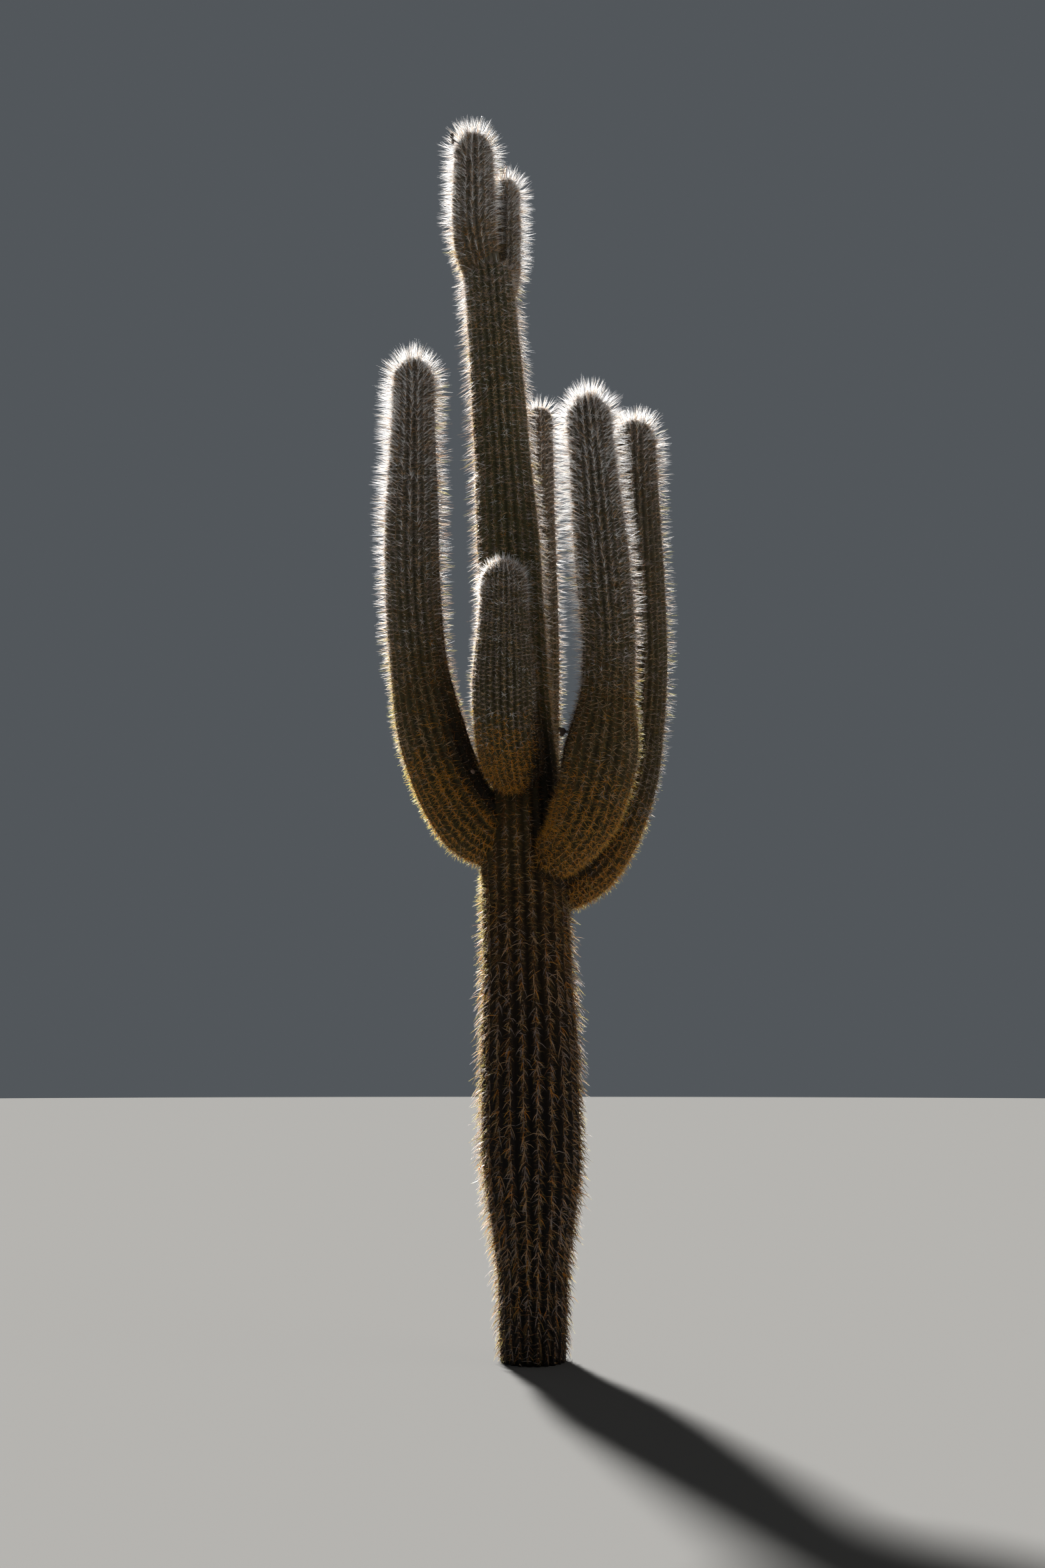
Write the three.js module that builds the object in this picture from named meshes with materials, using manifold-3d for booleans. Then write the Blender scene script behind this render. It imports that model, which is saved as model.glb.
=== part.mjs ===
import * as THREE from 'three';
import { mergeVertices } from 'three/addons/utils/BufferGeometryUtils.js';
import Module from 'manifold-3d';

// Columnar cactus: a ribbed trunk that leans a little, five arms that bend up beside it, and two
// heads on its tip, all set with spines along the rib crests.
// Millimetres, +Z up. The origin is the middle of the flat cut at ground level.

// Trunk. Radii here and below are taken over the rib crests.
const TRUNK_TOP = 6680;
const TRUNK_LEAN = 285;
const TRUNK_LEAN_AZIMUTH = 180;
const TRUNK_RIBS = 22;
const TRUNK_SHOULDER = 80;
const FOOT = { height: 0, radius: 184 };
const ANKLE = { height: 350, radius: 194 };
const BELLY_LOW = { height: 1180, radius: 284 };
const BELLY_HIGH = { height: 1500, radius: 282 };
const FORK_LOW = { height: 2350, radius: 256 };
const FORK_HIGH = { height: 2750, radius: 256 };
const LEADER_LOW = { height: 4000, radius: 196 };
const LEADER_MIDDLE = { height: 4800, radius: 192 };
const LEADER_HIGH = { height: 5500, radius: 172 };
const WAIST = { height: TRUNK_TOP - TRUNK_SHOULDER, radius: 155 };

// Arms and heads. Each leaves the trunk's axis at rootHeight, rising by rise degrees towards its
// azimuth, and is upright at uprightHeight, at reach from the axis. The two pulls say how far it
// keeps to each of those directions, and the tip stands lean further out than reach. girth has the
// radius at shares of the length before the round tip.
const LIMBS = [
  {
    name: 'left_arm', azimuth: 188, ribs: 22, bends: true,
    rootHeight: 2869, rise: 12, rootPull: 565,
    reach: 694, uprightHeight: 4870, bendPull: 885, tipHeight: 5980, lean: 4,
    girth: [[0, 120], [0.12, 212], [0.28, 206], [0.45, 171], [0.68, 165], [1, 127]],
    spineReach: 92, spineTilt: 22,
  },
  {
    name: 'front_arm', azimuth: 258, ribs: 28, bends: false,
    rootHeight: 3215, rise: 32, rootPull: 255,
    reach: 494, uprightHeight: 3770, bendPull: 330, tipHeight: 4535, lean: 12,
    girth: [[0, 92], [0.27, 182], [0.56, 182], [1, 136]],
    spineReach: 52, spineTilt: 12,
  },
  {
    name: 'near_right_arm', azimuth: 318, ribs: 22, bends: true,
    rootHeight: 2860, rise: -18, rootPull: 676,
    reach: 660, uprightHeight: 4165, bendPull: 260, tipHeight: 5622, lean: -149,
    girth: [[0, 90], [0.1, 150], [0.2, 200], [0.3, 216], [0.45, 152], [0.68, 160], [1, 133]],
    spineReach: 84, spineTilt: 18,
  },
  {
    name: 'far_right_arm', azimuth: 13, ribs: 22, bends: true,
    rootHeight: 2573, rise: 14, rootPull: 548,
    reach: 742, uprightHeight: 4189, bendPull: 815, tipHeight: 5688, lean: -35,
    girth: [[0, 96], [0.15, 180], [0.28, 172], [0.45, 153], [0.68, 161], [1, 140]],
    spineReach: 84, spineTilt: 18,
  },
  {
    name: 'back_arm', azimuth: 82, ribs: 20, bends: true,
    rootHeight: 2750, rise: 20, rootPull: 430,
    reach: 655, uprightHeight: 4100, bendPull: 620, tipHeight: 6012, lean: 20,
    girth: [[0, 110], [0.12, 137], [0.47, 137], [1, 100]],
    spineReach: 92, spineTilt: 12,
  },
  {
    name: 'main_head', azimuth: 196, ribs: 20, bends: false,
    rootHeight: 6520, rise: 66, rootPull: 150,
    reach: 108, uprightHeight: 7020, bendPull: 220, tipHeight: 7585, lean: 6,
    girth: [[0, 116], [0.36, 138], [0.6, 138], [1, 124]],
    spineReach: 92, spineTilt: 24,
  },
  {
    name: 'side_head', azimuth: 62, ribs: 18, bends: false,
    rootHeight: 6400, rise: 38, rootPull: 130,
    reach: 182, uprightHeight: 6860, bendPull: 250, tipHeight: 7385, lean: 4,
    girth: [[0, 62], [0.36, 100], [0.68, 100], [1, 90]],
    spineReach: 84, spineTilt: 24,
  },
];

// Shape of the ribs and of the round tips.
const RIB_DEPTH_SHARE = 0.13;
const DOME_SHARE = 1.3;
const DOME_ANGLES = [0, 34, 63];

// Length between neighbouring cross-sections.
const TRUNK_STEP = 330;
const BEND_STEP = 240;
const UPRIGHT_STEP = 460;

// An arm round a wide gap is split where it has bent up, this share of the way along its bend.
const SPLIT_SHARE = 0.78;
const GAP = 0.3;
const CUT_CLEARANCE = 0.45;
const MERGE_TOLERANCE = 1e-3;

// Spines: three-sided needles in staggered rows, each standing for a tuft. On a limb they are
// shorter and droop near its root, and grow to their full reach and tilt further up.
const SPINE_WIDTH = 19;
const SPINE_SINK = 14;
const SPINE_ROW_STEP = 350;
const SPINES_PER_ROW = 5;
const SPINE_JITTER = 12;
const ROOT_REACH_SHARE = 0.55;
const ROOT_TILT_SHARE = -0.6;
const FULL_REACH_AT = 0.6;
const SPINE_SAMPLES = [0, 0.35, 0.7, 1];
const CROWN_ROWS = [
  { angle: 30, count: 6 },
  { angle: 60, count: 4 },
  { angle: 88, count: 1 },
];
const CROWN_REACH_SHARE = 1.05;
const CROWN_TURN = 0.37;
const TRUNK_SPINE_REACH = 46;
const TRUNK_SPINE_TILT = -34;
const LEADER_SPINE_REACH = 62;
const LEADER_SPINE_TILT = -14;
const LOWEST_SPINE = 330;
const TRUNK_SPINES_PER_ROW = 6;
const SPINE_CLEARANCE = 16;
const SEED = 11;

// Withered flower on the main head, and withered fruit in the near right arm's crook.
const WITHERED = [
  { limb: 'main_head', below: 80, angle: 10, height: 78, width: 26, stand: 46 },
  { limb: 'near_right_arm', below: 2140, angle: 229, height: 56, width: 36, stand: 34 },
];

const COLOURS = {
  trunk: '#5f533b',
  elbow: '#75603b',
  arm: '#968a75',
  front: '#7d7259',
  head: '#b9b0a0',
};
const SKIN_ROUGHNESS = 0.85;

const wasm = await Module();
wasm.setup();

const UP = new THREE.Vector3(0, 0, 1);
const { degToRad, smoothstep } = THREE.MathUtils;

// Repeatable random numbers from 0 to 1, from a multiplying generator.
const RANDOM_FACTOR = 48271;
const RANDOM_MODULUS = 2 ** 31 - 1;
function makeRandom(seed) {
  let state = seed;
  return () => {
    state = (state * RANDOM_FACTOR) % RANDOM_MODULUS;
    return state / RANDOM_MODULUS;
  };
}

// A value that eases from one [position, value] pair to the next.
function easeThrough(pairs, position) {
  for (let i = 1; i < pairs.length; i += 1) {
    const [start, low] = pairs[i - 1];
    const [end, high] = pairs[i];
    if (position <= end) {
      return low + (high - low) * smoothstep(position, start, end);
    }
  }
  return pairs.at(-1)[1];
}

// Positions from start up to, but without, end, no further apart than step.
function evenly(start, end, step) {
  const count = Math.ceil((end - start) / step);
  return Array.from({ length: count }, (_, i) => start + ((end - start) * i) / count);
}

function horizontal(azimuth) {
  return new THREE.Vector3(Math.cos(degToRad(azimuth)), Math.sin(degToRad(azimuth)), 0);
}

const trunkCurve = new THREE.QuadraticBezierCurve3(
  new THREE.Vector3(0, 0, 0),
  new THREE.Vector3(0, 0, TRUNK_TOP / 2),
  horizontal(TRUNK_LEAN_AZIMUTH).multiplyScalar(TRUNK_LEAN).setZ(TRUNK_TOP),
);

// A stem is a path with a girth: the trunk, an arm or a head. It holds the distances of its
// cross-sections from its root, the distance at which its round tip begins, and that tip's size.
function makeStem(name, path, azimuth, ribs, radiusAt, stations, dome) {
  const length = path.getLength();
  const side = horizontal(azimuth + 90);
  return { name, path, side, ribs, radiusAt, stations, dome, length };
}

// Cross-section of a stem: its centre, its directions along and outwards, and its radius.
function sectionAt(stem, distance) {
  const share = Math.min(distance / stem.length, 1);
  const centre = stem.path.getPoint(share);
  const along = stem.path.getTangent(share);
  const outer = new THREE.Vector3().crossVectors(stem.side, along);
  const rise = Math.max(distance - stem.dome.start, 0) / stem.dome.length;
  const radius = stem.radiusAt(distance) * Math.sqrt(Math.max(1 - rise * rise, 0));
  return { centre, along, outer, radius, rise };
}

function makeTrunk() {
  const pairs = [
    FOOT, ANKLE, BELLY_LOW, BELLY_HIGH, FORK_LOW, FORK_HIGH,
    LEADER_LOW, LEADER_MIDDLE, LEADER_HIGH, WAIST,
  ].map(({ height, radius }) => [height, radius]);
  const path = new THREE.CurvePath();
  path.add(trunkCurve);
  const length = path.getLength();
  const dome = { start: length - TRUNK_SHOULDER, length: TRUNK_SHOULDER };
  const stations = [
    ...evenly(0, dome.start, TRUNK_STEP),
    ...DOME_ANGLES.map((angle) => dome.start + dome.length * Math.sin(degToRad(angle))),
  ];
  const radiusAt = (distance) => easeThrough(pairs, distance);
  return makeStem('trunk', path, TRUNK_LEAN_AZIMUTH, TRUNK_RIBS, radiusAt, stations, dome);
}

function makeLimb(limb) {
  const root = trunkCurve.getPoint(limb.rootHeight / TRUNK_TOP);
  const out = horizontal(limb.azimuth);
  const place = (reach, height) => root.clone().addScaledVector(out, reach).setZ(height);
  const start = place(0, limb.rootHeight);
  const bend = place(limb.reach, limb.uprightHeight);
  const tip = place(limb.reach + limb.lean, limb.tipHeight);
  const rising = out.clone().multiplyScalar(Math.cos(degToRad(limb.rise)))
    .addScaledVector(UP, Math.sin(degToRad(limb.rise)));
  const upright = tip.clone().sub(bend).normalize();
  const path = new THREE.CurvePath();
  path.add(new THREE.CubicBezierCurve3(
    start,
    start.clone().addScaledVector(rising, limb.rootPull),
    bend.clone().addScaledVector(upright, -limb.bendPull),
    bend,
  ));
  path.add(new THREE.LineCurve3(bend, tip));

  const length = path.getLength();
  const split = path.curves[0].getLength() * SPLIT_SHARE;
  const domeLength = limb.girth.at(-1)[1] * DOME_SHARE;
  const dome = { start: length - domeLength, length: domeLength };
  const radiusAt = (distance) => easeThrough(limb.girth, distance / dome.start);
  const stations = [
    ...evenly(0, split, BEND_STEP),
    ...evenly(split, dome.start, UPRIGHT_STEP),
    ...DOME_ANGLES.map((angle) => dome.start + dome.length * Math.sin(degToRad(angle))),
  ];
  const stem = makeStem(limb.name, path, limb.azimuth, limb.ribs, radiusAt, stations, dome);
  return { ...stem, ...limb, split, length };
}

// Point on a section's edge, at an angle round the stem from its outer side.
function rimPoint(stem, section, angle, radius) {
  return section.centre.clone()
    .addScaledVector(section.outer, radius * Math.cos(angle))
    .addScaledVector(stem.side, radius * Math.sin(angle));
}

// A closed ribbed solid between two distances along a stem, with every face grown outwards by
// grow. Each rib has one corner on its crest and one in the valley beside it.
function ribbedSolid(stem, from, to, grow = 0) {
  const corners = stem.ribs * 2;
  const positions = [];
  const triangles = [];
  const between = stem.stations.filter((at) => at > from + GAP && at < to - GAP);
  const pointed = to >= stem.length;
  const rings = pointed ? [from, ...between] : [from, ...between, to];
  const addPoint = (point) => positions.push(point.x, point.y, point.z) / 3 - 1;

  for (const at of rings) {
    const section = sectionAt(stem, at);
    for (let corner = 0; corner < corners; corner += 1) {
      const share = corner % 2 === 0 ? 1 : 1 - RIB_DEPTH_SHARE;
      const angle = (2 * Math.PI * corner) / corners;
      addPoint(rimPoint(stem, section, angle, section.radius * share + grow));
    }
  }
  for (let ring = 1; ring < rings.length; ring += 1) {
    for (let corner = 0; corner < corners; corner += 1) {
      const next = (corner + 1) % corners;
      const [a, b] = [(ring - 1) * corners + corner, (ring - 1) * corners + next];
      const [c, d] = [ring * corners + next, ring * corners + corner];
      triangles.push([a, b, c], [a, c, d]);
    }
  }
  const first = sectionAt(stem, from);
  const last = sectionAt(stem, pointed ? stem.length : to);
  const bottom = addPoint(first.centre);
  const top = addPoint(last.centre.addScaledVector(last.along, pointed ? grow : 0));
  const lastRing = (rings.length - 1) * corners;
  for (let corner = 0; corner < corners; corner += 1) {
    const next = (corner + 1) % corners;
    triangles.push([bottom, next, corner], [top, lastRing + corner, lastRing + next]);
  }
  return makeSolid(positions, triangles.flat());
}

function makeSolid(positions, triangles) {
  return new wasm.Manifold(new wasm.Mesh({
    numProp: 3,
    vertProperties: Float32Array.from(positions),
    triVerts: Uint32Array.from(triangles),
  }));
}

function solidOf(geometry) {
  const bare = geometry.clone();
  bare.deleteAttribute('normal');
  bare.deleteAttribute('uv');
  const merged = mergeVertices(bare, MERGE_TOLERANCE);
  return makeSolid(merged.attributes.position.array, merged.index.array);
}

// Place on a stem's surface: the point on the rib crest, which runs straight from one cross-section
// to the next, the way out of the skin, and the way along the crest towards the tip.
function surfaceAt(stem, distance, angle) {
  const section = sectionAt(stem, distance);
  const radial = section.outer.clone().multiplyScalar(Math.cos(angle))
    .addScaledVector(stem.side, Math.sin(angle));
  const turn = Math.asin(Math.min(section.rise, 1));
  const outward = radial.clone().multiplyScalar(Math.cos(turn))
    .addScaledVector(section.along, Math.sin(turn));
  const crest = section.along.clone().multiplyScalar(Math.cos(turn))
    .addScaledVector(radial, -Math.sin(turn));
  const stations = [...stem.stations, stem.length];
  const above = Math.max(stations.findIndex((at) => at >= distance), 1);
  const [lower, upper] = [stations[above - 1], stations[above]];
  const rimAt = (at) => {
    const ring = sectionAt(stem, at);
    return rimPoint(stem, ring, angle, ring.radius);
  };
  const point = rimAt(lower).lerp(rimAt(upper), (distance - lower) / (upper - lower));
  return { point, outward, crest };
}

// Whether a point lies within a clearance of a stem's rib crests.
function nearStem(stem, point, clearance) {
  const sections = stem.stations.map((at) => sectionAt(stem, at));
  return sections.slice(1).some((upper, i) => {
    const lower = sections[i];
    const line = new THREE.Line3(lower.centre, upper.centre);
    const share = line.closestPointToPointParameter(point, true);
    const radius = lower.radius + (upper.radius - lower.radius) * share;
    return line.at(share, new THREE.Vector3()).distanceTo(point) < radius + clearance;
  });
}

// Spines of one stem, each with its foot, its direction, its length and its distance along the
// stem. One that would touch another stem or an earlier spine is skipped.
function spinesOf(stem, rows, others, placed, random) {
  const spines = [];
  for (const { distance, count, offset, reach, tilt } of rows) {
    for (let i = 0; i < count; i += 1) {
      const rib = Math.round(((i + offset) * stem.ribs) / count);
      const { point, outward, crest } = surfaceAt(stem, distance, (2 * Math.PI * rib) / stem.ribs);
      const turn = degToRad(tilt + (random() * 2 - 1) * SPINE_JITTER);
      const direction = outward.clone().multiplyScalar(Math.cos(turn))
        .addScaledVector(crest, Math.sin(turn));
      const length = reach / Math.cos(turn);
      const nearSplit = stem.bends && Math.abs(distance - stem.split) < SPINE_WIDTH;
      const samples = SPINE_SAMPLES.map((share) => (
        point.clone().addScaledVector(direction, length * share)
      ));
      const blocked = nearSplit || samples.some((sample) => (
        others.some((other) => nearStem(other, sample, SPINE_CLEARANCE))
        || placed.some((taken) => taken.distanceTo(sample) < SPINE_CLEARANCE)
      ));
      if (!blocked) {
        placed.push(...samples);
        spines.push({ foot: point, direction, length, distance });
      }
    }
  }
  return spines;
}

function limbSpineRows(stem, from, to) {
  const fullAt = stem.length * FULL_REACH_AT;
  return evenly(from, to, SPINE_ROW_STEP).map((distance, i) => ({
    distance,
    count: SPINES_PER_ROW,
    offset: (i % 2) / 2,
    reach: stem.spineReach * easeThrough([[0, ROOT_REACH_SHARE], [fullAt, 1]], distance),
    tilt: stem.spineTilt * easeThrough([[0, ROOT_TILT_SHARE], [fullAt, 1]], distance),
  }));
}

function crownSpineRows(stem) {
  return CROWN_ROWS.map(({ angle, count }, i) => ({
    distance: stem.dome.start + stem.dome.length * Math.sin(degToRad(angle)),
    count,
    offset: i * CROWN_TURN,
    reach: stem.spineReach * CROWN_REACH_SHARE,
    tilt: stem.spineTilt / 2,
  }));
}

function trunkSpineRows(stem) {
  return evenly(LOWEST_SPINE, stem.dome.start, SPINE_ROW_STEP).map((distance, i) => ({
    distance,
    count: distance < FORK_LOW.height ? TRUNK_SPINES_PER_ROW : SPINES_PER_ROW,
    offset: (i % 2) / 2,
    reach: distance < FORK_LOW.height ? TRUNK_SPINE_REACH : LEADER_SPINE_REACH,
    tilt: distance < FORK_LOW.height ? TRUNK_SPINE_TILT : LEADER_SPINE_TILT,
  }));
}

function spineSolid({ foot, direction, length }) {
  const whole = length + SPINE_SINK;
  const cone = new THREE.ConeGeometry(SPINE_WIDTH / 2, whole, 3);
  cone.translate(0, whole / 2 - SPINE_SINK, 0);
  cone.applyQuaternion(new THREE.Quaternion().setFromUnitVectors(new THREE.Vector3(0, 1, 0), direction));
  cone.translate(foot.x, foot.y, foot.z);
  return solidOf(cone);
}

// A withered flower or fruit: a small eight-sided lump on a short stalk out of the skin.
function witheredSolid(stem, { below, angle, height, width, stand }) {
  const { point, outward } = surfaceAt(stem, stem.length - below, degToRad(angle));
  const lump = new THREE.OctahedronGeometry(1);
  lump.scale(width / 2, width / 2, height / 2);
  const middle = point.clone().addScaledVector(outward, stand);
  lump.translate(middle.x, middle.y, middle.z);
  const stalk = spineSolid({ foot: point, direction: outward, length: stand + width / 2 });
  return solidOf(lump).add(stalk);
}

function meshOf(name, solid, colour) {
  const { vertProperties, triVerts } = solid.getMesh();
  const geometry = new THREE.BufferGeometry();
  geometry.setAttribute('position', new THREE.BufferAttribute(Float32Array.from(vertProperties), 3));
  geometry.setIndex(new THREE.BufferAttribute(Uint32Array.from(triVerts), 1));
  geometry.computeVertexNormals();
  const material = new THREE.MeshStandardMaterial({
    color: colour, roughness: SKIN_ROUGHNESS, metalness: 0, flatShading: true,
  });
  const mesh = new THREE.Mesh(geometry, material);
  mesh.name = name;
  return mesh;
}

const addAll = (solid, extras) => extras.reduce((whole, extra) => whole.add(extra), solid);

// What is left of a solid after its cutters, without the scraps that stay in the ribs' valleys.
function cutAll(solid, cutters) {
  const rest = cutters.reduce((left, cutter) => left.subtract(cutter), solid);
  return rest.decompose().reduce((largest, piece) => (
    piece.volume() > largest.volume() ? piece : largest
  ));
}

function colourOf(limb) {
  if (limb.name.endsWith('head')) return COLOURS.head;
  return limb.name === 'front_arm' ? COLOURS.front : COLOURS.arm;
}

// Builds the whole plant. Each limb is cut clear of the trunk and of the limbs before it.
function buildCactus() {
  const random = makeRandom(SEED);
  const trunk = makeTrunk();
  const limbs = LIMBS.map(makeLimb);
  const stems = [trunk, ...limbs];
  const placed = [];
  const group = new THREE.Group();

  const spinesFor = (stem, rows) => (
    spinesOf(stem, rows, stems.filter((other) => other !== stem), placed, random)
  );
  const trunkSpines = spinesFor(trunk, trunkSpineRows(trunk)).map(spineSolid);
  const trunkSolid = addAll(ribbedSolid(trunk, 0, trunk.length), trunkSpines);
  group.add(meshOf('trunk', trunkSolid, COLOURS.trunk));

  const cutters = [ribbedSolid(trunk, 0, trunk.length, CUT_CLEARANCE)];
  for (const limb of limbs) {
    const skinStart = trunk.radiusAt(limb.rootHeight);
    const rows = [...limbSpineRows(limb, skinStart, limb.dome.start), ...crownSpineRows(limb)];
    const growths = [
      ...spinesFor(limb, rows).map((spine) => ({ at: spine.distance, solid: spineSolid(spine) })),
      ...WITHERED.filter((lump) => lump.limb === limb.name)
        .map((lump) => ({ at: limb.length - lump.below, solid: witheredSolid(limb, lump) })),
    ];
    const pieceOf = (from, to) => addAll(
      cutAll(ribbedSolid(limb, from, to), cutters),
      growths.filter(({ at }) => at > from && at < to).map(({ solid }) => solid),
    );
    if (limb.bends) {
      group.add(meshOf(`${limb.name}_elbow`, pieceOf(0, limb.split - GAP), COLOURS.elbow));
    }
    group.add(meshOf(limb.name, pieceOf(limb.bends ? limb.split : 0, limb.length), colourOf(limb)));
    cutters.push(ribbedSolid(limb, 0, limb.length, CUT_CLEARANCE));
  }
  return group;
}

const cactus = buildCactus();

export default cactus;
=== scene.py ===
import math

import bmesh
import bpy
import numpy as np
from mathutils import Matrix, Vector, noise


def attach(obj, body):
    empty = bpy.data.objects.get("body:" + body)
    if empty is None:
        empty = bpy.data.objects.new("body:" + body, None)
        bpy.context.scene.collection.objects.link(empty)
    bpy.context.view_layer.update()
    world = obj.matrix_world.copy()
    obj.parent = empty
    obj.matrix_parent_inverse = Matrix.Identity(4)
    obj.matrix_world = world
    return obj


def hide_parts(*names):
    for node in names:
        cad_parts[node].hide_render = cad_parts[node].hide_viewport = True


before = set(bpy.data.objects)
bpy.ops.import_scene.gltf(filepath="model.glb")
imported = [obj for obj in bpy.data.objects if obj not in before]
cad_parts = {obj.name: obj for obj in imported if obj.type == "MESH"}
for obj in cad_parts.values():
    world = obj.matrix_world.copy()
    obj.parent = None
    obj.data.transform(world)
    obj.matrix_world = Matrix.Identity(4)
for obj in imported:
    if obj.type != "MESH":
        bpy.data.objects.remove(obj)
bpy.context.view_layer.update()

# Columnar cactus: a ribbed skin over each stem, a felted areole wherever spines grow along the rib
# crests, and the spines themselves. Metres, +Z up, the ground at z = 0.

# Trunk, as in the solids. Radii are taken over the rib crests.
TRUNK_TOP = 6.68
TRUNK_LEAN = 0.285
TRUNK_LEAN_AZIMUTH = 180
TRUNK_RIBS = 22
TRUNK_SHOULDER = 0.08
TRUNK_GIRTH = {
    "foot": (0, 0.184),
    "ankle": (0.35, 0.194),
    "belly low": (1.18, 0.284),
    "belly high": (1.5, 0.282),
    "fork low": (2.35, 0.256),
    "fork high": (2.75, 0.256),
    "leader low": (4.0, 0.196),
    "leader middle": (4.8, 0.192),
    "leader high": (5.5, 0.172),
    "waist": (6.6, 0.155),
}

# Arms and heads, as in the solids: each leaves the trunk's axis at root_height, rising by rise
# degrees towards its azimuth, and is upright at upright_height, at reach from the axis. girth has
# the radius at shares of the length before the round tip, and coats says which spines it has at
# which share of its length.
LIMBS = {
    "left_arm": dict(
        azimuth=188, ribs=22, root_height=2.869, rise=12, root_pull=0.565,
        reach=0.694, upright_height=4.87, bend_pull=0.885, tip_height=5.98, lean=0.004,
        girth=[(0, 0.12), (0.12, 0.212), (0.28, 0.206), (0.45, 0.171), (0.68, 0.165), (1, 0.127)],
        coats={
            0.14: "arm_root", 0.2: "arm_root", 0.28: "elbow", 0.36: "elbow", 0.48: "arm",
            0.75: "arm_top", 1: "crown",
        },
        nodes=["left_arm_elbow", "left_arm"], slot="arm_skin", areole_step=0.026,
    ),
    "front_arm": dict(
        azimuth=258, ribs=28, root_height=3.215, rise=32, root_pull=0.255,
        reach=0.494, upright_height=3.77, bend_pull=0.33, tip_height=4.535, lean=0.012,
        girth=[(0, 0.092), (0.27, 0.182), (0.56, 0.182), (1, 0.136)],
        coats={0.3: "front_root", 0.46: "front", 0.75: "front", 0.9: "front_top", 1: "front_top"},
        nodes=["front_arm"], slot="arm_skin", areole_step=0.023,
    ),
    "near_right_arm": dict(
        azimuth=318, ribs=22, root_height=2.86, rise=-18, root_pull=0.676,
        reach=0.66, upright_height=4.165, bend_pull=0.26, tip_height=5.622, lean=-0.149,
        girth=[
            (0, 0.09), (0.1, 0.15), (0.2, 0.2), (0.3, 0.216), (0.45, 0.152), (0.68, 0.16), (1, 0.133),
        ],
        coats={
            0.14: "arm_root", 0.2: "arm_root", 0.28: "elbow", 0.38: "elbow", 0.48: "arm",
            0.75: "arm_top", 1: "crown",
        },
        nodes=["near_right_arm_elbow", "near_right_arm"], slot="arm_skin", areole_step=0.026,
    ),
    "far_right_arm": dict(
        azimuth=13, ribs=22, root_height=2.573, rise=14, root_pull=0.548,
        reach=0.742, upright_height=4.189, bend_pull=0.815, tip_height=5.688, lean=-0.035,
        girth=[(0, 0.096), (0.15, 0.18), (0.28, 0.172), (0.45, 0.153), (0.68, 0.161), (1, 0.14)],
        coats={0.18: "arm_root", 0.3: "far_elbow", 0.48: "far_arm", 0.8: "far_arm", 1: "crown"},
        nodes=["far_right_arm_elbow", "far_right_arm"], slot="arm_skin", areole_step=0.029,
    ),
    "back_arm": dict(
        azimuth=82, ribs=20, root_height=2.75, rise=20, root_pull=0.43,
        reach=0.655, upright_height=4.1, bend_pull=0.62, tip_height=6.012, lean=0.02,
        girth=[(0, 0.11), (0.12, 0.137), (0.47, 0.137), (1, 0.1)],
        coats={0.12: "arm_root", 0.3: "elbow", 0.55: "arm", 1: "arm_top"},
        nodes=["back_arm_elbow", "back_arm"], slot="arm_skin", areole_step=0.035,
    ),
    "main_head": dict(
        azimuth=196, ribs=20, root_height=6.52, rise=66, root_pull=0.15,
        reach=0.108, upright_height=7.02, bend_pull=0.22, tip_height=7.585, lean=0.006,
        girth=[(0, 0.116), (0.36, 0.138), (0.6, 0.138), (1, 0.124)],
        coats={0.16: "head_root", 0.42: "head", 0.8: "head", 1: "crown"},
        nodes=["main_head"], slot="head_skin", areole_step=0.023,
    ),
    "side_head": dict(
        azimuth=62, ribs=18, root_height=6.4, rise=38, root_pull=0.13,
        reach=0.182, upright_height=6.86, bend_pull=0.25, tip_height=7.385, lean=0.004,
        girth=[(0, 0.062), (0.36, 0.1), (0.68, 0.1), (1, 0.09)],
        coats={0.2: "head_root", 0.42: "head", 0.8: "head", 1: "crown"},
        nodes=["side_head"], slot="head_skin", areole_step=0.023,
    ),
}
TRUNK_COATS = {
    0.02: "foot", 0.1: "belly", 0.32: "belly", 0.4: "fork", 0.47: "fork", 0.56: "leader_low",
    0.66: "leader", 0.92: "leader", 0.985: "waist",
}
TRUNK_AREOLE_STEP = 0.027

# Colours of the spines, and blends of them, with the shares in the colours' order.
SPINE_COLOURS = {
    "white": (0.92, 0.91, 0.9),
    "straw": (0.5, 0.3, 0.15),
    "amber": (0.54, 0.19, 0.015),
    "umber": (0.15, 0.057, 0.016),
    "grey": (0.28, 0.212, 0.182),
    "dark": (0.03, 0.019, 0.012),
}
BLENDS = {
    "bone": (0.72, 0.13, 0, 0, 0.15, 0),
    "taupe": (0.22, 0.28, 0, 0.04, 0.42, 0.04),
    "dove": (0.1, 0.16, 0, 0.06, 0.6, 0.08),
    "mauve": (0.03, 0.24, 0, 0.17, 0.5, 0.06),
    "slate": (0, 0.08, 0, 0.28, 0.36, 0.28),
    "tan": (0.06, 0.46, 0.02, 0.17, 0.24, 0.05),
    "golden": (0, 0.26, 0.08, 0.58, 0.04, 0.04),
    "amber": (0, 0.02, 0.78, 0.18, 0, 0.02),
    "tawny": (0, 0.48, 0.06, 0.36, 0.06, 0.04),
    "russet": (0, 0.16, 0.1, 0.66, 0.02, 0.06),
    "brown": (0, 0.06, 0.06, 0.6, 0.08, 0.2),
    "ashen": (0, 0.22, 0.07, 0.36, 0.29, 0.06),
    "weathered": (0, 0, 0.02, 0.3, 0.13, 0.55),
    # Painted shade: the dark blend that spines in crevices between stems take.
    "painted_crevice_shade": (0, 0, 0, 0.2, 0.05, 0.75),
}

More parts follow.
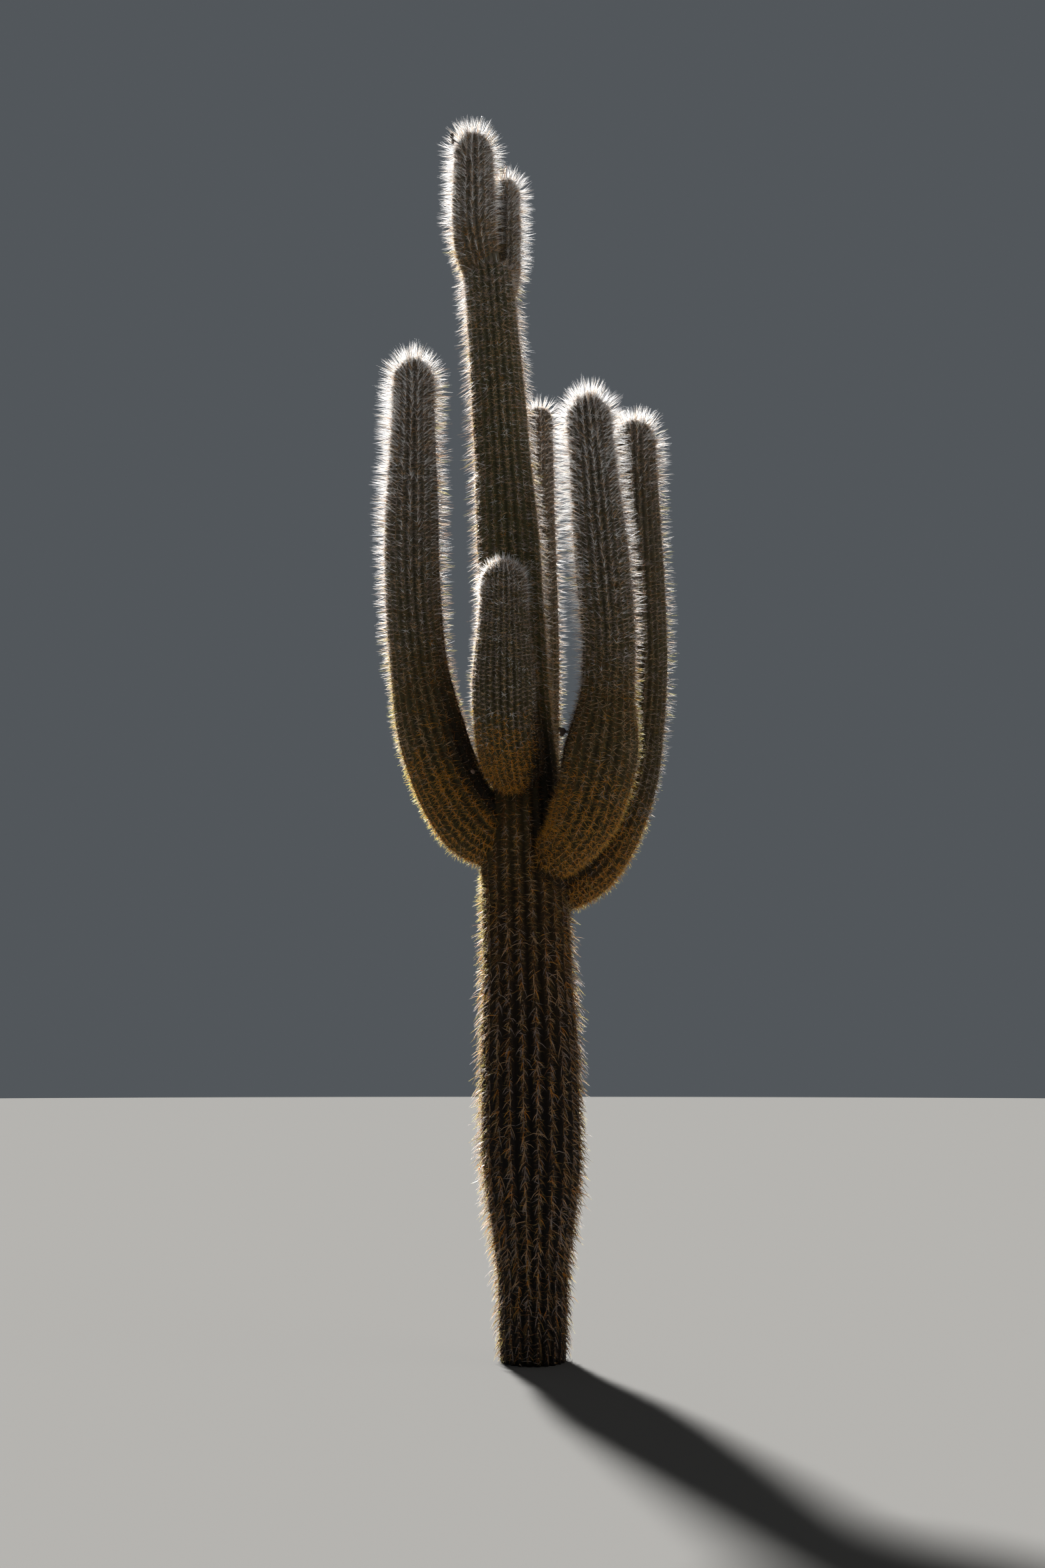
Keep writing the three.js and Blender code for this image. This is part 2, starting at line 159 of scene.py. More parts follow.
# The two kinds of spine that an areole bears, by part of the plant. Radials fan out round it, more
# across the rib than along it where fan is below 1, and centrals stand out of it in a bundle. number
# is for each areole, length in metres and lean in degrees from the way out of the skin. lift leans
# them along the rib, to its tip where it is positive, sag bends them towards the ground, mess is how
# unevenly they stand, and thickness is a share of the usual one.
COATS = {
    "foot": dict(
        radial=dict(number=3.8, length=0.046, lean=62, fan=0.5, lift=-0.5, sag=0, mess=0.4,
                    thickness=1, blend="weathered"),
        central=dict(number=2.2, length=0.08, lean=28, fan=1, lift=-1.2, sag=0.8, mess=0.4,
                     thickness=1.15, blend="weathered"),
    ),
    "belly": dict(
        radial=dict(number=5, length=0.05, lean=58, fan=0.6, lift=-0.3, sag=0, mess=0.4,
                    thickness=1, blend="brown"),
        central=dict(number=3.6, length=0.09, lean=32, fan=1, lift=-0.8, sag=0.45, mess=0.45,
                     thickness=1.2, blend="ashen"),
    ),
    "fork": dict(
        radial=dict(number=9, length=0.052, lean=56, fan=0.6, lift=-0.3, sag=0, mess=0.5,
                    thickness=0.9, blend="russet"),
        central=dict(number=3.6, length=0.064, lean=34, fan=1, lift=-0.6, sag=0, mess=0.5,
                     thickness=0.95, blend="russet"),
    ),
    "leader_low": dict(
        radial=dict(number=8.5, length=0.046, lean=58, fan=0.7, lift=-0.25, sag=0, mess=0.4,
                    thickness=0.95, blend="golden"),
        central=dict(number=2.4, length=0.06, lean=22, fan=1, lift=-0.4, sag=0, mess=0.3,
                     thickness=0.8, blend="tan"),
    ),
    "leader": dict(
        radial=dict(number=8.5, length=0.04, lean=60, fan=0.6, lift=-0.2, sag=0, mess=0.3,
                    thickness=0.92, blend="tan"),
        central=dict(number=3, length=0.085, lean=18, fan=1, lift=-0.5, sag=0, mess=0.2,
                     thickness=0.62, blend="taupe"),
    ),
    "waist": dict(
        radial=dict(number=11, length=0.04, lean=60, fan=0.8, lift=-0.1, sag=0, mess=0.3,
                    thickness=0.85, blend="dove"),
        central=dict(number=5, length=0.088, lean=24, fan=1, lift=-0.3, sag=0, mess=0.22,
                     thickness=0.65, blend="taupe"),
    ),
    "arm_root": dict(
        radial=dict(number=9.5, length=0.054, lean=60, fan=0.7, lift=-0.15, sag=0, mess=0.45,
                    thickness=0.95, blend="amber"),
        central=dict(number=3, length=0.052, lean=26, fan=1, lift=-0.2, sag=0, mess=0.35,
                     thickness=0.9, blend="amber"),
    ),
    "elbow": dict(
        radial=dict(number=8.5, length=0.054, lean=60, fan=0.6, lift=-0.1, sag=0, mess=0.42,
                    thickness=0.9, blend="golden"),
        central=dict(number=2.8, length=0.056, lean=24, fan=1, lift=-0.15, sag=0, mess=0.3,
                     thickness=0.8, blend="tawny"),
    ),
    "far_elbow": dict(
        radial=dict(number=7.5, length=0.05, lean=60, fan=0.6, lift=-0.1, sag=0, mess=0.4,
                    thickness=0.85, blend="slate"),
        central=dict(number=2.4, length=0.046, lean=22, fan=1, lift=-0.1, sag=0, mess=0.3,
                     thickness=0.75, blend="slate"),
    ),
    "far_arm": dict(
        radial=dict(number=8, length=0.037, lean=62, fan=0.5, lift=0, sag=0, mess=0.25,
                    thickness=0.9, blend="slate"),
        central=dict(number=3, length=0.076, lean=15, fan=1, lift=0, sag=0, mess=0.14,
                     thickness=0.58, blend="mauve"),
    ),
    "arm": dict(
        radial=dict(number=8.5, length=0.038, lean=62, fan=0.5, lift=0, sag=0, mess=0.25,
                    thickness=1, blend="mauve"),
        central=dict(number=3.4, length=0.08, lean=15, fan=1, lift=0, sag=0, mess=0.14,
                     thickness=0.66, blend="taupe"),
    ),
    "arm_top": dict(
        radial=dict(number=9.5, length=0.037, lean=62, fan=0.45, lift=0.05, sag=0, mess=0.25,
                    thickness=1, blend="dove"),
        central=dict(number=4.8, length=0.096, lean=16, fan=1, lift=0.05, sag=0, mess=0.14,
                     thickness=0.66, blend="bone"),
    ),
    "crown": dict(
        radial=dict(number=10, length=0.038, lean=58, fan=0.7, lift=0.1, sag=0, mess=0.3,
                    thickness=0.95, blend="dove"),
        central=dict(number=6.4, length=0.11, lean=24, fan=1, lift=0.15, sag=0, mess=0.18,
                     thickness=0.68, blend="bone"),
    ),
    "front_root": dict(
        radial=dict(number=9.5, length=0.044, lean=60, fan=0.8, lift=-0.1, sag=0, mess=0.35,
                    thickness=0.95, blend="amber"),
        central=dict(number=2.6, length=0.046, lean=24, fan=1, lift=-0.1, sag=0, mess=0.3,
                     thickness=0.85, blend="amber"),
    ),
    "front": dict(
        radial=dict(number=8.5, length=0.031, lean=62, fan=0.5, lift=0, sag=0, mess=0.25,
                    thickness=0.85, blend="dove"),
        central=dict(number=2, length=0.046, lean=16, fan=1, lift=0, sag=0, mess=0.15,
                     thickness=0.55, blend="tan"),
    ),
    "front_top": dict(
        radial=dict(number=9, length=0.032, lean=60, fan=0.7, lift=0.1, sag=0, mess=0.3,
                    thickness=0.85, blend="dove"),
        central=dict(number=3.6, length=0.06, lean=22, fan=1, lift=0.15, sag=0, mess=0.18,
                     thickness=0.58, blend="bone"),
    ),
    "head_root": dict(
        radial=dict(number=9, length=0.044, lean=58, fan=0.9, lift=-0.1, sag=0, mess=0.32,
                    thickness=0.9, blend="golden"),
        central=dict(number=3.4, length=0.066, lean=22, fan=1, lift=-0.1, sag=0, mess=0.2,
                     thickness=0.75, blend="tan"),
    ),
    "head": dict(
        radial=dict(number=9.5, length=0.037, lean=62, fan=0.5, lift=0.05, sag=0, mess=0.26,
                    thickness=1, blend="dove"),
        central=dict(number=4.6, length=0.1, lean=20, fan=1, lift=0, sag=0, mess=0.16,
                     thickness=0.6, blend="bone"),
    ),
}

# Skin: the ribs' depth as a share of the radius, the round tip's length as a share of the radius
# below it, how finely the skin is cut, and where it starts inside the trunk.
RIB_DEPTH_SHARE = 0.13
DOME_SHARE = 1.3
CORNERS_PER_RIB = 6
RING_STEP = 0.036
DOME_RINGS = 14
SKIN_START_SHARE = 0.6
SKIN_START_INSET = 0.06
UNEVEN_SHARE = 0.012

# Unevenness, as waves round the stem and along it.
UNEVEN_WAVES = ((0, 5), (1, 3), (2, 7), (3, 11), (5, 16))
UNEVEN_SLANT = 0.6
UNEVEN_HEIGHT = 2.5

# Areoles: a pad's half width, and its height, sink and length as shares of that. Pads stand no closer
# round the stem than CROWDED.
AREOLE_RADIUS = 0.005
AREOLE_LIMITS = (0.8, 1.25)
AREOLE_HEIGHT = 0.6
AREOLE_SINK = 0.5
AREOLE_LENGTH = 1.2
AREOLE_STEP_JITTER = 0.09
AREOLE_TURN_JITTER = 0.01
CROWDED = 0.013
LEAST_GAP = 0.0001
LOWEST_AREOLE = 0.018

# Spines, in metres and degrees. Limits are shares of a coat's own values. FOOT_SHARE is how far from
# its pad's middle a spine starts, and TURN_SHARE turns one that stands straight out.
RADIAL_WIDTH = 0.0042
RADIAL_THICKNESS = 0.002
CENTRAL_WIDTH = 0.0036
LEAN_SPREAD = 16
LENGTH_LIMITS = (0.45, 1.15)
THICKNESS_LIMITS = (0.8, 1.2)
PATCH_SPREAD = 0.1
SAME_COLOUR_SHARE = 0.6
SPINE_SINK = 0.003
FOOT_SHARE = 0.5
TURN_SHARE = 0.001
BENT_FROM = 0.1
BEND_AT = 0.5
BEND_WIDTH_SHARE = 0.75
CLEAR_OF_GROUND = 0.003
BURIED = 0.004

# Growth bands: spines are denser and a little longer once in every step along a stem. The bands set
# in between two shares of its length.
GROWTH_STEP = 0.105
GROWTH_SWING = 0.3
GROWTH_LENGTH_SHARE = 0.3
GROWTH_FADE = ((0.4, 0.7), (0, 1))

# Crevices between stems: what has another stem within reach in front of it has fewer spines, and
# painted shade: darker spines and darker skin.
CREVICE_REACH = 0.2
CREVICE_FADE = 0.16
CREVICE_THINNING = 0.5

# How closely paths are followed, in points or metres.
TRUNK_POINTS = 500
BEND_POINTS = 400
UPRIGHT_POINTS = 100
MERIDIAN_POINTS = (600, 90)
DIRECTION_REACH = 0.02
CLEARANCE_STEP = 0.025
CLEARANCE_BATCH = 20000

UP = np.array([0.0, 0.0, 1.0])


def horizontal(azimuth):
    """The level direction at an azimuth from +X towards +Y, in degrees."""
    turn = math.radians(azimuth)
    return np.array([math.cos(turn), math.sin(turn), 0.0])


def unit(vectors):
    return vectors / np.linalg.norm(vectors, axis=-1, keepdims=True)


def ease_through(pairs, position):
    """A value that eases from one (position, value) pair to the next."""
    places = np.array([place for place, _ in pairs], float)
    values = np.array([value for _, value in pairs], float)
    position = np.clip(position, places[0], places[-1])
    upper = np.clip(np.searchsorted(places, position), 1, len(places) - 1)
    share = (position - places[upper - 1]) / (places[upper] - places[upper - 1])
    share = share * share * (3 - 2 * share)
    return values[upper - 1] + (values[upper] - values[upper - 1]) * share


def trunk_point(share):
    """A point on the trunk's axis, for one share of its height or an array of them."""
    lean = horizontal(TRUNK_LEAN_AZIMUTH) * TRUNK_LEAN
    share = np.asarray(share, float)[..., None]
    return lean * share**2 + UP * TRUNK_TOP * share


def cubic(a, b, c, d, count):
    """Points on the Bezier curve from a to d."""
    t = np.linspace(0, 1, count)[:, None]
    return a * (1 - t) ** 3 + 3 * b * t * (1 - t) ** 2 + 3 * c * t**2 * (1 - t) + d * t**3


class Stem:
    """The trunk, an arm or a head: a path with a girth, a round tip and the spines it bears."""

    def __init__(self, name, points, azimuth, ribs, coats, nodes, slot, areole_step):
        self.name, self.points, self.ribs = name, points, ribs
        self.nodes, self.slot, self.areole_step = nodes, slot, areole_step
        steps = np.linalg.norm(np.diff(points, axis=0), axis=1)
        self.distances = np.concatenate([[0], np.cumsum(steps)])
        self.length = self.distances[-1]
        self.side = horizontal(azimuth + 90)
        self.coats = {share * self.length: coat for share, coat in coats.items()}

    def set_girth(self, radius_at, dome_length):
        self.radius_at = radius_at
        self.dome_length = dome_length
        self.dome_start = self.length - dome_length

    def centre(self, at):
        return np.stack([np.interp(at, self.distances, self.points[:, i]) for i in range(3)], axis=-1)

    def along(self, at):
        low = np.clip(at - DIRECTION_REACH, 0, self.length - DIRECTION_REACH)
        return unit(self.centre(low + DIRECTION_REACH) - self.centre(low))

    def rise(self, at):
        """How far up its round tip a place lies, from 0 at the tip's start to 1."""
        return np.clip((at - self.dome_start) / self.dome_length, 0, 1)

    def radius(self, at):
        return self.radius_at(np.minimum(at, self.dome_start)) * np.sqrt(1 - self.rise(at) ** 2)

    def surface(self, at, angle):
        """Points on the rib crests, the way out of the skin there and the way along the crest."""
        along = self.along(at)
        outer = np.cross(self.side, along)
        radial = outer * np.cos(angle)[:, None] + self.side * np.sin(angle)[:, None]
        rise = self.rise(at)
        full = self.radius_at(np.minimum(at, self.dome_start))
        turn = np.arctan2(rise * full / self.dome_length, np.sqrt(1 - rise**2))[:, None]
        out = radial * np.cos(turn) + along * np.sin(turn)
        crest = along * np.cos(turn) - radial * np.sin(turn)
        return self.centre(at) + radial * self.radius(at)[:, None], out, crest

    def meridian(self):
        """Distances along the stem, and how far along a rib crest each is."""
        body_points, dome_points = MERIDIAN_POINTS
        dome = self.dome_start + self.dome_length * np.sin(np.linspace(0, math.pi / 2, dome_points))
        at = np.concatenate([np.linspace(0, self.dome_start, body_points)[:-1], dome])
        steps = np.hypot(np.diff(at), np.diff(self.radius(at)))
        return at, np.concatenate([[0], np.cumsum(steps)])

    def coat(self, at, kind):
        """Each value of one kind of spine, blended between the coats above and below."""
        places = sorted(self.coats)
        rows = [COATS[self.coats[place]][kind] for place in places]
        values = {
            key: np.interp(at, places, [row[key] for row in rows]) for key in rows[0] if key != "blend"
        }
        shares = np.array([BLENDS[row["blend"]] for row in rows])
        values["shares"] = np.stack([np.interp(at, places, column) for column in shares.T], axis=-1)
        return values


def make_trunk():
    points = trunk_point(np.linspace(0, 1, TRUNK_POINTS))
    stem = Stem(
        "trunk", points, TRUNK_LEAN_AZIMUTH, TRUNK_RIBS, TRUNK_COATS,
        ["trunk"], "trunk_skin", TRUNK_AREOLE_STEP,
    )
    pairs = list(TRUNK_GIRTH.values())
    stem.set_girth(lambda at: ease_through(pairs, at), TRUNK_SHOULDER)
    stem.start = 0.0
    return stem


def make_limb(name, limb, trunk):
    root = trunk_point(limb["root_height"] / TRUNK_TOP)
    out = horizontal(limb["azimuth"])

    def place(reach, height):
        point = root + out * reach
        point[2] = height
        return point

    start = place(0, limb["root_height"])
    bend = place(limb["reach"], limb["upright_height"])
    tip = place(limb["reach"] + limb["lean"], limb["tip_height"])
    rise = math.radians(limb["rise"])
    rising = out * math.cos(rise) + UP * math.sin(rise)
    upright = unit(tip - bend)
    leaving = start + rising * limb["root_pull"]
    arriving = bend - upright * limb["bend_pull"]
    curve = cubic(start, leaving, arriving, bend, BEND_POINTS)
    straight = bend + (tip - bend) * np.linspace(0, 1, UPRIGHT_POINTS)[1:, None]
    stem = Stem(
        name, np.concatenate([curve, straight]), limb["azimuth"], limb["ribs"], limb["coats"],
        limb["nodes"], limb["slot"], limb["areole_step"],
    )
    dome_length = limb["girth"][-1][1] * DOME_SHARE
    body = stem.length - dome_length
    stem.set_girth(lambda at: ease_through(limb["girth"], at / body), dome_length)
    trunk_radius = float(trunk.radius(np.array(limb["root_height"])))
    stem.start = (trunk_radius - SKIN_START_INSET) * SKIN_START_SHARE
    return stem


def clearance(stems, points):
    """How far each point lies outside the nearest of the stems' rib crests, negative inside."""
    nearest = np.full(len(points), np.inf)
    for stem in stems:
        at = np.arange(0, stem.length, CLEARANCE_STEP)
        centres, radii = stem.centre(at), stem.radius(at)
        for start in range(0, len(points), CLEARANCE_BATCH):
            batch = slice(start, start + CLEARANCE_BATCH)
            gaps = np.linalg.norm(points[batch][:, None] - centres[None], axis=2) - radii
            nearest[batch] = np.minimum(nearest[batch], gaps.min(axis=1))
    return nearest


# Meshes


def mesh_object(name, points, faces, smooth):
    """An object of points (n, 3) and of arrays of faces, each array with one number of corners."""
    mesh = bpy.data.meshes.new(name)
    sizes = np.concatenate([np.full(len(part), part.shape[1]) for part in faces])
    corners = np.concatenate([part.ravel() for part in faces])
    mesh.vertices.add(len(points))
    mesh.vertices.foreach_set("co", points.astype(np.float32).ravel())
    mesh.loops.add(len(corners))
    mesh.loops.foreach_set("vertex_index", corners.astype(np.int32))
    mesh.polygons.add(len(sizes))
    starts = np.concatenate([[0], np.cumsum(sizes)[:-1]])
    mesh.polygons.foreach_set("loop_start", starts.astype(np.int32))
    mesh.polygons.foreach_set("use_smooth", np.full(len(sizes), smooth))
    mesh.update(calc_edges=True)
    mesh.validate()
    made = bpy.data.objects.new(name, mesh)
    bpy.context.scene.collection.objects.link(made)
    return made


def copies_object(name, shapes, faces):
    """One object of many small shapes (n, corners, 3) that share the same faces."""
    starts = np.arange(len(shapes))[:, None, None] * shapes.shape[1]
    placed = [(starts + np.array(part)[None]).reshape(-1, len(part[0])) for part in faces]
    return mesh_object(name, shapes.reshape(-1, 3), placed, smooth=False)


def finish_piece(piece, material):
    piece.data.materials.append(material)
    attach(piece, "root")
    return piece


def wobble(at, angle, rng):
    """A smooth unevenness from about -1 to 1 over a stem's surface."""
    total = np.zeros(np.broadcast(at, angle).shape)
    for turns, waves in UNEVEN_WAVES:
        phase, slant = rng.random(2) * 2 * math.pi
        total += np.cos(turns * angle + waves * at + phase) * np.cos(waves * UNEVEN_SLANT * at + slant)
    return total / UNEVEN_HEIGHT


def make_skin(stem, others, materials, rng):
    """The ribbed skin, closed at both ends, with its crests and crevices marked for the material's
    painted shade.
    """
    around = stem.ribs * CORNERS_PER_RIB
    angle = np.arange(around) * 2 * math.pi / around
    rings = math.ceil((stem.dome_start - stem.start) / RING_STEP)
    body = np.linspace(stem.start, stem.dome_start, rings, endpoint=False)
    dome_turns = np.linspace(0, math.pi / 2, DOME_RINGS, endpoint=False)
    at = np.concatenate([body, stem.dome_start + stem.dome_length * np.sin(dome_turns)])
    crest = np.abs(np.cos(angle * stem.ribs / 2))
    centre, along = stem.centre(at), stem.along(at)
    outer = np.cross(stem.side, along)
    uneven = 1 + UNEVEN_SHARE * wobble(at[:, None], angle[None], rng)
    radius = stem.radius(at)[:, None] * (1 - RIB_DEPTH_SHARE * (1 - crest))[None] * uneven
    points = (
        centre[:, None]
        + radius[..., None] * (
            outer[:, None] * np.cos(angle)[None, :, None]
            + stem.side[None, None] * np.sin(angle)[None, :, None]
        )
    ).reshape(-1, 3)
    points[:, 2] = np.maximum(points[:, 2], 0)
    outward = unit(points - np.repeat(centre, around, axis=0))
    # Painted shade: how deep each corner lies in a crevice between stems, to darken the skin there.
    crevice_shade = painted_shade_mask(others, points, outward)
    low = np.arange(len(at) - 1)[:, None] * around
    here = np.arange(around)
    after = (here + 1) % around
    quads = np.stack(
        [low + here, low + after, low + around + after, low + around + here], axis=-1,
    ).reshape(-1, 4)
    bottom, top = len(points), len(points) + 1
    points = np.concatenate([points, centre[:1], stem.centre(np.array([stem.length]))])
    last = (len(at) - 1) * around
    caps = np.concatenate([
        np.stack([np.full(around, bottom), after, here], axis=-1),
        np.stack([np.full(around, top), last + here, last + after], axis=-1),
    ])
    skin = mesh_object(f"{stem.name}_skin", points, [quads, caps], smooth=True)
    for name, values in (("crest", np.tile(crest, len(at))), ("crevice", crevice_shade)):
        mark = skin.data.attributes.new(name, "FLOAT", "POINT")
        marks = np.concatenate([values, [0, 0]])
        mark.data.foreach_set("value", marks.astype(np.float32))
    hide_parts(*stem.nodes)
    return finish_piece(skin, materials[stem.slot])


def areole_places(stem, rng):
    """Distances along the stem and angles round it of the areoles, in staggered rows."""
    at, length = stem.meridian()
    first = np.interp(max(stem.start, LOWEST_AREOLE), at, length)
    rows = np.arange(first, length[-1] - CROWDED / 2, stem.areole_step / 2)
    places, angles = [], []
    for row, here in enumerate(rows):
        distance = np.interp(here, length, at)
        gap = 2 * math.pi * stem.radius(distance) / stem.ribs
        every = 2 ** max(0, math.ceil(math.log2(CROWDED / max(gap, LEAST_GAP))))
        ribs = np.arange(row % 2, stem.ribs, 2)
        ribs = ribs[(ribs // 2) % every == 0]
        jitter = rng.normal(0, stem.areole_step * AREOLE_STEP_JITTER, len(ribs))
        places.append(np.interp(here + jitter, length, at))
        angles.append(2 * math.pi * ribs / stem.ribs + rng.normal(0, AREOLE_TURN_JITTER, len(ribs)))
    return np.concatenate(places), np.concatenate(angles)


PAD_FACES = [[(0, 1, 2), (0, 2, 3), (0, 3, 4), (0, 4, 1)], [(4, 3, 2, 1)]]


def make_areoles(stem, foot, out, crest, material, rng):
    """A low felted pad under each tuft of spines."""
    across = np.cross(out, crest)
    size = AREOLE_RADIUS * rng.uniform(*AREOLE_LIMITS, len(foot))[:, None]
    corners = [foot + out * size * AREOLE_HEIGHT]
    for turn in range(4):
        angle = math.pi / 2 * turn
        rim = crest * math.cos(angle) * AREOLE_LENGTH + across * math.sin(angle)
        corners.append(foot + size * rim - out * size * AREOLE_SINK)
    pads = copies_object(f"{stem.name}_areoles", np.stack(corners, axis=1), PAD_FACES)
    return finish_piece(pads, material)


STRAIGHT_FACES = [[(0, 2, 1), (0, 1, 3), (1, 2, 3), (2, 0, 3)]]
BENT_FACES = [
    [(0, 2, 1), (3, 4, 6), (4, 5, 6), (5, 3, 6)],
    [(0, 1, 4, 3), (1, 2, 5, 4), (2, 0, 3, 5)],
]


def triangle_round(centre, direction, wide, width, thickness):
    """Three corners round each centre, across its direction, the first along wide."""
    first = unit(wide - direction * (wide * direction).sum(axis=1, keepdims=True))
    second = np.cross(direction, first)
    return [
        centre
        + first * (width * 0.5 * math.cos(turn))[:, None]
        + second * (thickness * 0.5 * math.sin(turn))[:, None]
        for turn in (math.pi / 2, math.pi * 7 / 6, math.pi * 11 / 6)
    ]


def radial_directions(owner, order, count, out, crest, across, coat, rng):
    """Spines that fan out round their areole, at much the same angle to the skin."""
    turn = 2 * math.pi * (order + 0.5) / count[owner] + rng.normal(0, coat["mess"][owner])
    lean = np.radians(coat["lean"][owner] + rng.uniform(-LEAN_SPREAD, LEAN_SPREAD, len(owner)))
    spread = across[owner] * np.cos(turn)[:, None]
    spread = unit(spread + crest[owner] * (np.sin(turn) * coat["fan"][owner])[:, None])
    return out[owner] * np.cos(lean)[:, None] + spread * np.sin(lean)[:, None]


def central_directions(owner, order, count, out, crest, across, coat, rng):
    """Spines that stand out of the skin in a loose bundle."""
    turn = rng.random(len(out)) * 2 * math.pi
    lean = np.radians(coat["lean"] * rng.random(len(out)))
    bundle = across * np.cos(turn)[:, None] + crest * np.sin(turn)[:, None]
    bundle = out * np.cos(lean)[:, None] + bundle * np.sin(lean)[:, None]
    return unit(bundle[owner] + rng.normal(0, 1, (len(owner), 3)) * coat["mess"][owner][:, None])


def painted_shade_mask(others, foot, out):
    """How deep each place lies in a crevice between stems, from 0 in the open to 1: the mask for
    painted shade there.
    """
    return np.clip(1 - clearance(others, foot + out * CREVICE_REACH) / CREVICE_FADE, 0, 1)


def spine_colours(shares, owner, rng):
    """The number of each spine's colour, most of an areole's spines having the same one."""
    alike = rng.random(len(owner)) < SAME_COLOUR_SHARE
    draw = np.where(alike, rng.random(len(shares))[owner], rng.random(len(owner)))
    limits = shares.cumsum(axis=1)[owner]
    return (draw[:, None] * limits[:, -1:] > limits).sum(axis=1)


def spine_corners(kind, coat, foot, out, crest, rng):
    """The areole that each spine belongs to, its corners at the foot and the bend, and both ends."""
    directions, width, thickness = SPINE_KINDS[kind]
    across = np.cross(out, crest)
    count = np.floor(coat["number"] + rng.random(len(foot))).astype(int)
    owner = np.repeat(np.arange(len(count)), count)
    order = np.arange(len(owner)) - np.repeat(np.cumsum(count) - count, count)
    direction = directions(owner, order, count, out, crest, across, coat, rng)
    direction = unit(direction + crest[owner] * coat["lift"][owner][:, None])
    length = coat["length"][owner] * rng.uniform(*LENGTH_LIMITS, len(owner))
    beside = direction - out[owner] * (direction * out[owner]).sum(axis=1, keepdims=True)
    start = foot[owner] + beside * AREOLE_RADIUS * FOOT_SHARE - out[owner] * SPINE_SINK
    middle = start + direction * (length * BEND_AT)[:, None]
    drooped = unit(direction - UP * coat["sag"][owner][:, None])
    tip = middle + drooped * (length * (1 - BEND_AT))[:, None]
    wide = np.cross(direction, out[owner]) + across[owner] * TURN_SHARE
    size = coat["thickness"][owner] * rng.uniform(*THICKNESS_LIMITS, len(owner))
    base = triangle_round(start, direction, wide, width * size, thickness * size)
    size = size * BEND_WIDTH_SHARE
    waist = triangle_round(middle, unit(direction + drooped), wide, width * size, thickness * size)
    return owner, base, waist, middle, tip


SPINE_KINDS = {
    "radial": (radial_directions, RADIAL_WIDTH, RADIAL_THICKNESS),
    "central": (central_directions, CENTRAL_WIDTH, CENTRAL_WIDTH),
}


def make_spines(stem, others, foot, out, crest, at, patch, materials, rng):
    """All spines of a stem's areoles, joined by colour and by whether they bend."""
    # Painted shade: spines in crevices between stems turn darker, and fewer grow there.
    crevice_shade = painted_shade_mask(others, foot, out)
    swing = GROWTH_SWING * np.interp(at / stem.length, *GROWTH_FADE)
    growth = 1 + swing * np.cos(2 * math.pi * at / GROWTH_STEP)
    painted_crevice_shade = np.array(BLENDS["painted_crevice_shade"])
    made = {}
    for kind in SPINE_KINDS:
        coat = stem.coat(at, kind)
        # Painted shade: spines in crevices take the dark blend.
        coat["shares"] = coat["shares"] * (1 - crevice_shade)[:, None] + painted_crevice_shade * crevice_shade[:, None]
        coat["number"] = coat["number"] * growth * (1 + patch) * (1 - CREVICE_THINNING * crevice_shade)
        coat["length"] = coat["length"] * (1 + (growth - 1) * GROWTH_LENGTH_SHARE + patch)
        owner, base, waist, middle, tip = spine_corners(kind, coat, foot, out, crest, rng)
        free = (clearance(others, tip) > BURIED) & (clearance(others, middle) > 0)
        free &= np.minimum(tip[:, 2], middle[:, 2]) > CLEAR_OF_GROUND
        colour = spine_colours(coat["shares"], owner, rng)
        bends = coat["sag"][owner] > BENT_FROM
        bent = np.stack([*base, *waist, tip], axis=1)
        straight = np.stack([*base, tip], axis=1)
        for number, name in enumerate(SPINE_COLOURS):
            chosen = free & (colour == number)
            made.setdefault((name, "bent"), []).append(bent[chosen & bends])
            made.setdefault((name, "straight"), []).append(straight[chosen & ~bends])
    for (name, form), parts in made.items():
        shapes = np.concatenate(parts)
        if len(shapes):
            faces = BENT_FACES if form == "bent" else STRAIGHT_FACES
            piece = copies_object(f"{stem.name}_spines_{name}_{form}", shapes, faces)
            finish_piece(piece, materials[f"spines {name}"])


# Materials


def new_material(name, colour, roughness):
    material = bpy.data.materials.new(name)
    material.use_nodes = True
    shader = material.node_tree.nodes["Principled BSDF"]
    shader.inputs["Base Color"].default_value = (*colour, 1)
    shader.inputs["Roughness"].default_value = roughness
    return material, shader


# Spines let the sun behind them through.
SPINE_ROUGHNESS = 0.45
SPINE_SHINE = 0.15
SPINE_GLOW = 0.9
SPINE_GLOW_REACH = 0.004
SPINE_GLOW_TINT = (1.0, 0.9, 0.8)
FELT = (0.4, 0.28, 0.17)


def spine_material(name, colour):
    material, shader = new_material(name, colour, SPINE_ROUGHNESS)
    shader.inputs["Specular IOR Level"].default_value = SPINE_SHINE
    shader.inputs["Subsurface Weight"].default_value = SPINE_GLOW
    shader.inputs["Subsurface Radius"].default_value = SPINE_GLOW_TINT
    shader.inputs["Subsurface Scale"].default_value = SPINE_GLOW_REACH
    return material


# Tones of the skin by height, as a share of SKIN_HEIGHT.
SKIN_HEIGHT = 7.68
SKIN_TONES = {
    "trunk_skin": [
        (0.0, (0.006, 0.004, 0.003)), (0.1, (0.006, 0.004, 0.003)), (0.25, (0.009, 0.005, 0.003)),
        (0.4, (0.03, 0.016, 0.004)), (0.46, (0.055, 0.036, 0.011)), (0.55, (0.075, 0.066, 0.022)),
        (0.85, (0.09, 0.084, 0.042)),
    ],
    "arm_skin": [
        (0.37, (0.065, 0.026, 0.004)), (0.44, (0.045, 0.03, 0.007)), (0.6, (0.085, 0.072, 0.034)),
        (0.8, (0.11, 0.096, 0.07)),
    ],
    "head_skin": [
        (0.85, (0.08, 0.055, 0.02)), (0.92, (0.12, 0.105, 0.07)), (1.0, (0.14, 0.125, 0.09)),
    ],
}
